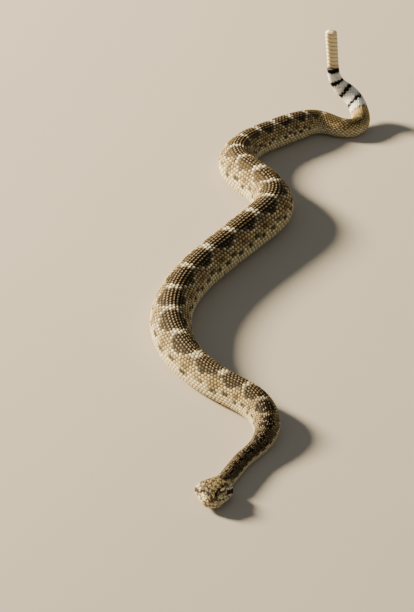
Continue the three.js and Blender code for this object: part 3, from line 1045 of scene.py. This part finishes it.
def build_head_scales():
    small = scale_field("head_scales", head_roots(), keeled_width, HEAD_SPAN)
    shields = join(
        lip_roots(),
        ring_roots(EYE, margin=0.75, count=15, length=1.35, width=1.35),
        ring_roots(PIT, margin=0.45, count=8, length=1.2, width=1.3),
        ring_roots(NOSTRIL, margin=0.55, count=6, length=1.2, width=1.3),
        ridge_roots(),
    )
    large = scale_field("head_shields", shields, shield_width, HEAD_SPAN, SHIELD_ACROSS, SHIELD_ALONG)
    return [small, large, build_snout_plates()]


# The brows and the eyes, shaped from round balls

BROW_FIT = 0.97
BROW_FLATNESS = 0.7
GROOVE_DEPTH = 0.05
EYE_FIT = 0.995


def ball_grid(rings, sides):
    """Points on a round ball whose pole lies along its third axis, and the faces between them."""
    polar = np.linspace(0, np.pi, rings)[:, None]
    turn = np.linspace(0, 2 * np.pi, sides, endpoint=False)[None]
    x = np.sin(polar) * np.cos(turn)
    y = np.sin(polar) * np.sin(turn)
    z = np.cos(polar) + 0 * turn
    return np.stack([x, y, z], -1).reshape(-1, 3), grid_faces(rings, sides, wrap=True)


def build_brow(name, side):
    """The shield over an eye: a grooved oval plate that stands out as a brow."""
    ball, faces = ball_grid(25, 36)
    x, y, z = ball.T
    d = BROW["forward"] + x * BROW["length"] * BROW_FIT
    out = BROW["out"] - BROW_TURN * (d - BROW["forward"]) + y * BROW["width"] * BROW_FIT
    plate = 0.95 * np.sign(z) * np.abs(z) ** BROW_FLATNESS
    grooves = GROOVE_DEPTH * np.cos(3.4 * y * BROW["width"] + 0.8 * wobble(6 * d, out, 3))
    height = BROW["up"] + (plate + grooves) * BROW["height"] + BROW_TILT * (out - BROW["out"])
    points = on_head(d, side * out, height)
    rim = rising(np.hypot(x, y), 0.72, 0.3)
    # Painted shade: the plate darkens towards its rim, where it meets the crown; the rest of the darkening
    # is its own speckle
    colours = mix(CROWN, CROWN_DARK, 0.6 + 0.4 * wobble(7 * d, out, 6) + 0.4 * rim)
    return make_mesh(name, points, outward(points, faces), colours)


def build_eye(name, side):
    """An eyeball, with its own measures kept for the pupil: x forward, y up, z out."""
    ball, faces = ball_grid(41, 48)

    def beside(forward, out, up):
        return on_head(EYE["forward"] + forward, side * (EYE["out"] + out), EYE["up"] + up)

    centre = beside(0, 0, 0)
    ahead = beside(1, 0, 0) - centre
    above = beside(0, 0, 1) - centre
    outer = beside(0, 1, 0) - centre
    ahead /= np.linalg.norm(ahead)
    out = np.cross(above, ahead)
    out *= np.sign(outer @ out)
    points = centre + EYE["radius"] * EYE_FIT * (ball @ np.array([ahead, above, out]))
    piece = make_mesh(name, points, outward(points, faces))
    own = piece.data.attributes.new("Own", "FLOAT_VECTOR", "POINT")
    own.data.foreach_set("vector", ball.astype(np.float32).ravel())
    return piece


# The rattle: horny rings, each a swollen band with a waist behind it, grooved along both sides

RATTLE_SIDES = 40
RATTLE_BANDS = 14
WAIST_DEPTH = 0.19
WAIST_REACH = 0.13
RATTLE_GROOVE = 0.1


def rattle_profile(t):
    """The girth along the rattle, where t counts the rings."""
    along = t - np.floor(t)
    waist = hump(along, 0.02, WAIST_REACH) + hump(along, 1.02, WAIST_REACH)
    return 1 - WAIST_DEPTH * waist + 0.03 * np.cos(2 * np.pi * (along - 0.3))


def build_rattle():
    pitch = (RATTLE_END - BODY_END) / RATTLE_SEGMENTS
    t = np.linspace(0, RATTLE_SEGMENTS * 0.999, RATTLE_SEGMENTS * RATTLE_BANDS)
    s = BODY_END + 0.15 + t * pitch * 0.997
    past_last_ring = np.clip(s - (RATTLE_END - pitch), 0, None)
    tip = np.sqrt(np.clip(1 - (past_last_ring / (pitch * 1.02)) ** 2, 0.002, 1))
    taper = 0.97 + 0.05 * rising(s, BODY_END, RATTLE_END - BODY_END)
    size = (rattle_profile(t) * taper * tip)[:, None]
    a = np.linspace(0, 2 * np.pi, RATTLE_SIDES, endpoint=False)[None]
    groove = 1 - RATTLE_GROOVE * np.cos(a) ** 8
    x = RATTLE_WIDTH / 2 * size * groove * np.sign(np.cos(a)) * np.abs(np.cos(a)) ** 0.75
    middle = body_width(float(BODY_END)) * body_tallness(float(BODY_END)) / 2
    z = middle + RATTLE_HEIGHT / 2 * size * np.sign(np.sin(a)) * np.abs(np.sin(a)) ** 0.85
    points = on_path(body_path, np.broadcast_to(s[:, None], x.shape), x, z).reshape(-1, 3)
    along = (t - np.floor(t))[:, None]
    # Painted shade in the waists between the rings and in the grooves along both sides; the first ring is
    # darker in its own colour
    dark = hump(along, 0, 0.1) + hump(along, 1, 0.1) + 0.3 * np.cos(a) ** 8
    dark += 0.9 * hump(t[:, None], 0, 0.8)
    colours = mix(STRAW, STRAW_DARK, 0.75 * dark).reshape(-1, 3)
    return make_mesh("rattle_horn", *close_tube(points, RATTLE_SIDES, colours))


# Materials

def new_material(name):
    material = bpy.data.materials.new(name)
    material.use_nodes = True
    nodes = material.node_tree.nodes
    return material, nodes, material.node_tree.links, nodes["Principled BSDF"]


def set_inputs(node, **inputs):
    for key, value in inputs.items():
        node.inputs[key.replace("_", " ")].default_value = value
    return node


def add_node(nodes, kind, **inputs):
    return set_inputs(nodes.new(kind), **inputs)


def tinted_material(name, roughness, grain, grain_scale, bump, specular):
    """Colours come from the mesh. Fine specks and a fine bump come from noise in the object's own space."""
    material, nodes, links, shader = new_material(name)
    set_inputs(shader, Roughness=roughness, Specular_IOR_Level=specular)
    tint = nodes.new("ShaderNodeAttribute")
    tint.attribute_name = "Tint"
    where = nodes.new("ShaderNodeTexCoord")
    speck = add_node(nodes, "ShaderNodeTexNoise", Scale=grain_scale, Detail=4.0, Roughness=0.65)
    spread = add_node(
        nodes, "ShaderNodeMapRange", From_Min=0.32, From_Max=0.68, To_Min=1 - grain, To_Max=1 + 0.6 * grain)
    scaled = nodes.new("ShaderNodeVectorMath")
    scaled.operation = "SCALE"
    fine = add_node(nodes, "ShaderNodeTexNoise", Scale=grain_scale * 3.2, Detail=3.0)
    lift = add_node(nodes, "ShaderNodeBump", Strength=bump, Distance=0.0002)
    links.new(where.outputs["Object"], speck.inputs["Vector"])
    links.new(where.outputs["Object"], fine.inputs["Vector"])
    links.new(speck.outputs["Fac"], spread.inputs["Value"])
    links.new(tint.outputs["Color"], scaled.inputs[0])
    links.new(spread.outputs["Result"], scaled.inputs["Scale"])
    links.new(scaled.outputs["Vector"], shader.inputs["Base Color"])
    links.new(fine.outputs["Fac"], lift.inputs["Height"])
    links.new(lift.outputs["Normal"], shader.inputs["Normal"])
    return material


PUPIL_HALF = 0.17
PUPIL_BOW = 0.42
PUPIL_CRISPNESS = 40.0


def eye_material():
    """A straw-coloured iris flecked with brown, with an upright slit for a pupil."""
    material, nodes, links, shader = new_material("eye")
    set_inputs(shader, Roughness=0.06, Coat_Weight=1.0, Coat_Roughness=0.03)
    own = nodes.new("ShaderNodeAttribute")
    own.attribute_name = "Own"
    split = nodes.new("ShaderNodeSeparateXYZ")
    links.new(own.outputs["Vector"], split.inputs["Vector"])
    flecks = add_node(nodes, "ShaderNodeTexNoise", Scale=9.0, Detail=5.0)
    links.new(own.outputs["Vector"], flecks.inputs["Vector"])
    iris = nodes.new("ShaderNodeValToRGB")
    for stop, position, colour in zip(iris.color_ramp.elements, (0.35, 0.65), (IRIS_BROWN, IRIS_STRAW)):
        stop.position = position
        stop.color = (*colour, 1)
    links.new(flecks.outputs["Fac"], iris.inputs["Fac"])

    def maths(operation, first, second):
        node = nodes.new("ShaderNodeMath")
        node.operation = operation
        for socket, value in zip(node.inputs, (first, second)):
            if isinstance(value, (int, float)):
                socket.default_value = value
            else:
                links.new(value, socket)
        return node.outputs[0]

    height = maths("MULTIPLY", split.outputs["Y"], split.outputs["Y"])
    across = maths("ABSOLUTE", split.outputs["X"], 0.0)
    bow = maths("SUBTRACT", PUPIL_HALF, maths("MULTIPLY", height, PUPIL_BOW))
    pupil = maths("MULTIPLY", maths("SUBTRACT", bow, across), PUPIL_CRISPNESS)
    clear = nodes.new("ShaderNodeClamp")
    links.new(pupil, clear.inputs["Value"])
    colour = nodes.new("ShaderNodeMix")
    colour.data_type = "RGBA"
    links.new(clear.outputs["Result"], colour.inputs["Factor"])
    links.new(iris.outputs["Color"], colour.inputs["A"])
    colour.inputs["B"].default_value = (0.004, 0.003, 0.003, 1)
    links.new(colour.outputs["Result"], shader.inputs["Base Color"])
    return material


def floor_material():
    material, nodes, links, shader = new_material("floor")
    where = nodes.new("ShaderNodeTexCoord")
    cloud = add_node(nodes, "ShaderNodeTexNoise", Scale=3.0, Detail=3.0)
    ramp = nodes.new("ShaderNodeValToRGB")
    for stop, shade in zip(ramp.color_ramp.elements, (0.97, 1.03)):
        stop.color = (*np.minimum(FLOOR * shade, 1), 1)
    links.new(where.outputs["Object"], cloud.inputs["Vector"])
    links.new(cloud.outputs["Fac"], ramp.inputs["Fac"])
    links.new(ramp.outputs["Color"], shader.inputs["Base Color"])
    set_inputs(shader, Roughness=0.85)
    return material


# The whole animal. A finish holds the roughness, the strength and scale of its grain, bump and specular.

FLESH = ["head", "lower_jaw", "neck", *[f"body_{n}" for n in range(1, 13)], "tail"]
SCALE_FINISH = (0.72, 0.3, 900.0, 0.35, 0.06)
HEAD_FINISH = (0.68, 0.32, 1400.0, 0.3, 0.08)
BELLY_FINISH = (0.5, 0.12, 500.0, 0.15, 0.3)
SKIN_FINISH = (0.8, 0.25, 900.0, 0.4, 0.15)
HORN_FINISH = (0.42, 0.22, 700.0, 0.3, 0.4)


def build_snake():
    scale_skin = tinted_material("scales", *SCALE_FINISH)
    head_skin = tinted_material("head_scales", *HEAD_FINISH)
    belly_skin = tinted_material("belly", *BELLY_FINISH)
    under_skin = tinted_material("skin", *SKIN_FINISH)
    horn = tinted_material("horn", *HORN_FINISH)
    glass = eye_material()
    skin = build_skin()
    skin.data.materials.append(under_skin)
    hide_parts(*FLESH)
    for piece in build_body_scales():
        piece.data.materials.append(scale_skin)
    build_belly_plates().data.materials.append(belly_skin)
    for piece in build_head_scales():
        piece.data.materials.append(head_skin)
    for name, side in (("left", -1), ("right", 1)):
        build_brow(f"brow_{name}", side).data.materials.append(head_skin)
        eye = build_eye(f"eyeball_{name}", side)
        eye.data.materials.append(glass)
        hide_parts(f"eye_{name}")
    rattle = build_rattle()
    rattle.data.materials.append(horn)
    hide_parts("rattle")


build_snake()


# The floor, the light and the camera

FLOOR_REACH = 12.0
DAYLIGHT = (0.9, 0.95, 1.0)
LOW_SUN = (1.0, 0.88, 0.67)
KEY_PLACE = (-4.4, 2.4, 2.2)
FILL_PLACE = (1.6, -2.4, 2.0)


def build_floor():
    r = FLOOR_REACH
    mesh = bpy.data.meshes.new("floor")
    mesh.from_pydata([(-r, -r, 0), (r, -r, 0), (r, r, 0), (-r, r, 0)], [], [(0, 1, 2, 3)])
    mesh.materials.append(floor_material())
    add_object("floor", mesh)


def area_light(name, place_at, size, power, colour):
    """A round lamp that shines on the origin."""
    light = bpy.data.lights.new(name, "AREA")
    light.shape = "DISK"
    light.size = size
    light.energy = power
    light.color = colour
    lamp = add_object(name, light)
    lamp.location = place_at
    lamp.rotation_euler = (-Vector(place_at)).to_track_quat("-Z", "Y").to_euler()


def build_light():
    area_light("key", KEY_PLACE, size=1.2, power=2150, colour=LOW_SUN)
    area_light("fill", FILL_PLACE, size=2.5, power=8, colour=DAYLIGHT)
    world = bpy.data.worlds.new("world")
    world.use_nodes = True
    set_inputs(world.node_tree.nodes["Background"], Color=(*DAYLIGHT, 1), Strength=0.28)
    bpy.context.scene.world = world


CAMERA_ELEVATION = 30.0
CAMERA_DISTANCE = 4700.0
PIXELS_PER_MM = 0.9
PICTURE_HEIGHT = 612
SENSOR = 36.0


def build_camera():
    """The photograph was taken from far off, so the lens is long."""
    e = math.radians(CAMERA_ELEVATION)
    data = bpy.data.cameras.new("camera")
    data.sensor_width = SENSOR
    data.lens = PIXELS_PER_MM * CAMERA_DISTANCE / PICTURE_HEIGHT * SENSOR
    data.clip_end = 50
    camera = add_object("camera", data)
    camera.location = to_metres(np.array([0, -CAMERA_DISTANCE * math.cos(e), CAMERA_DISTANCE * math.sin(e)]))
    camera.rotation_euler = (math.pi / 2 - e, 0, 0)
    bpy.context.scene.camera = camera


build_floor()
build_light()
build_camera()
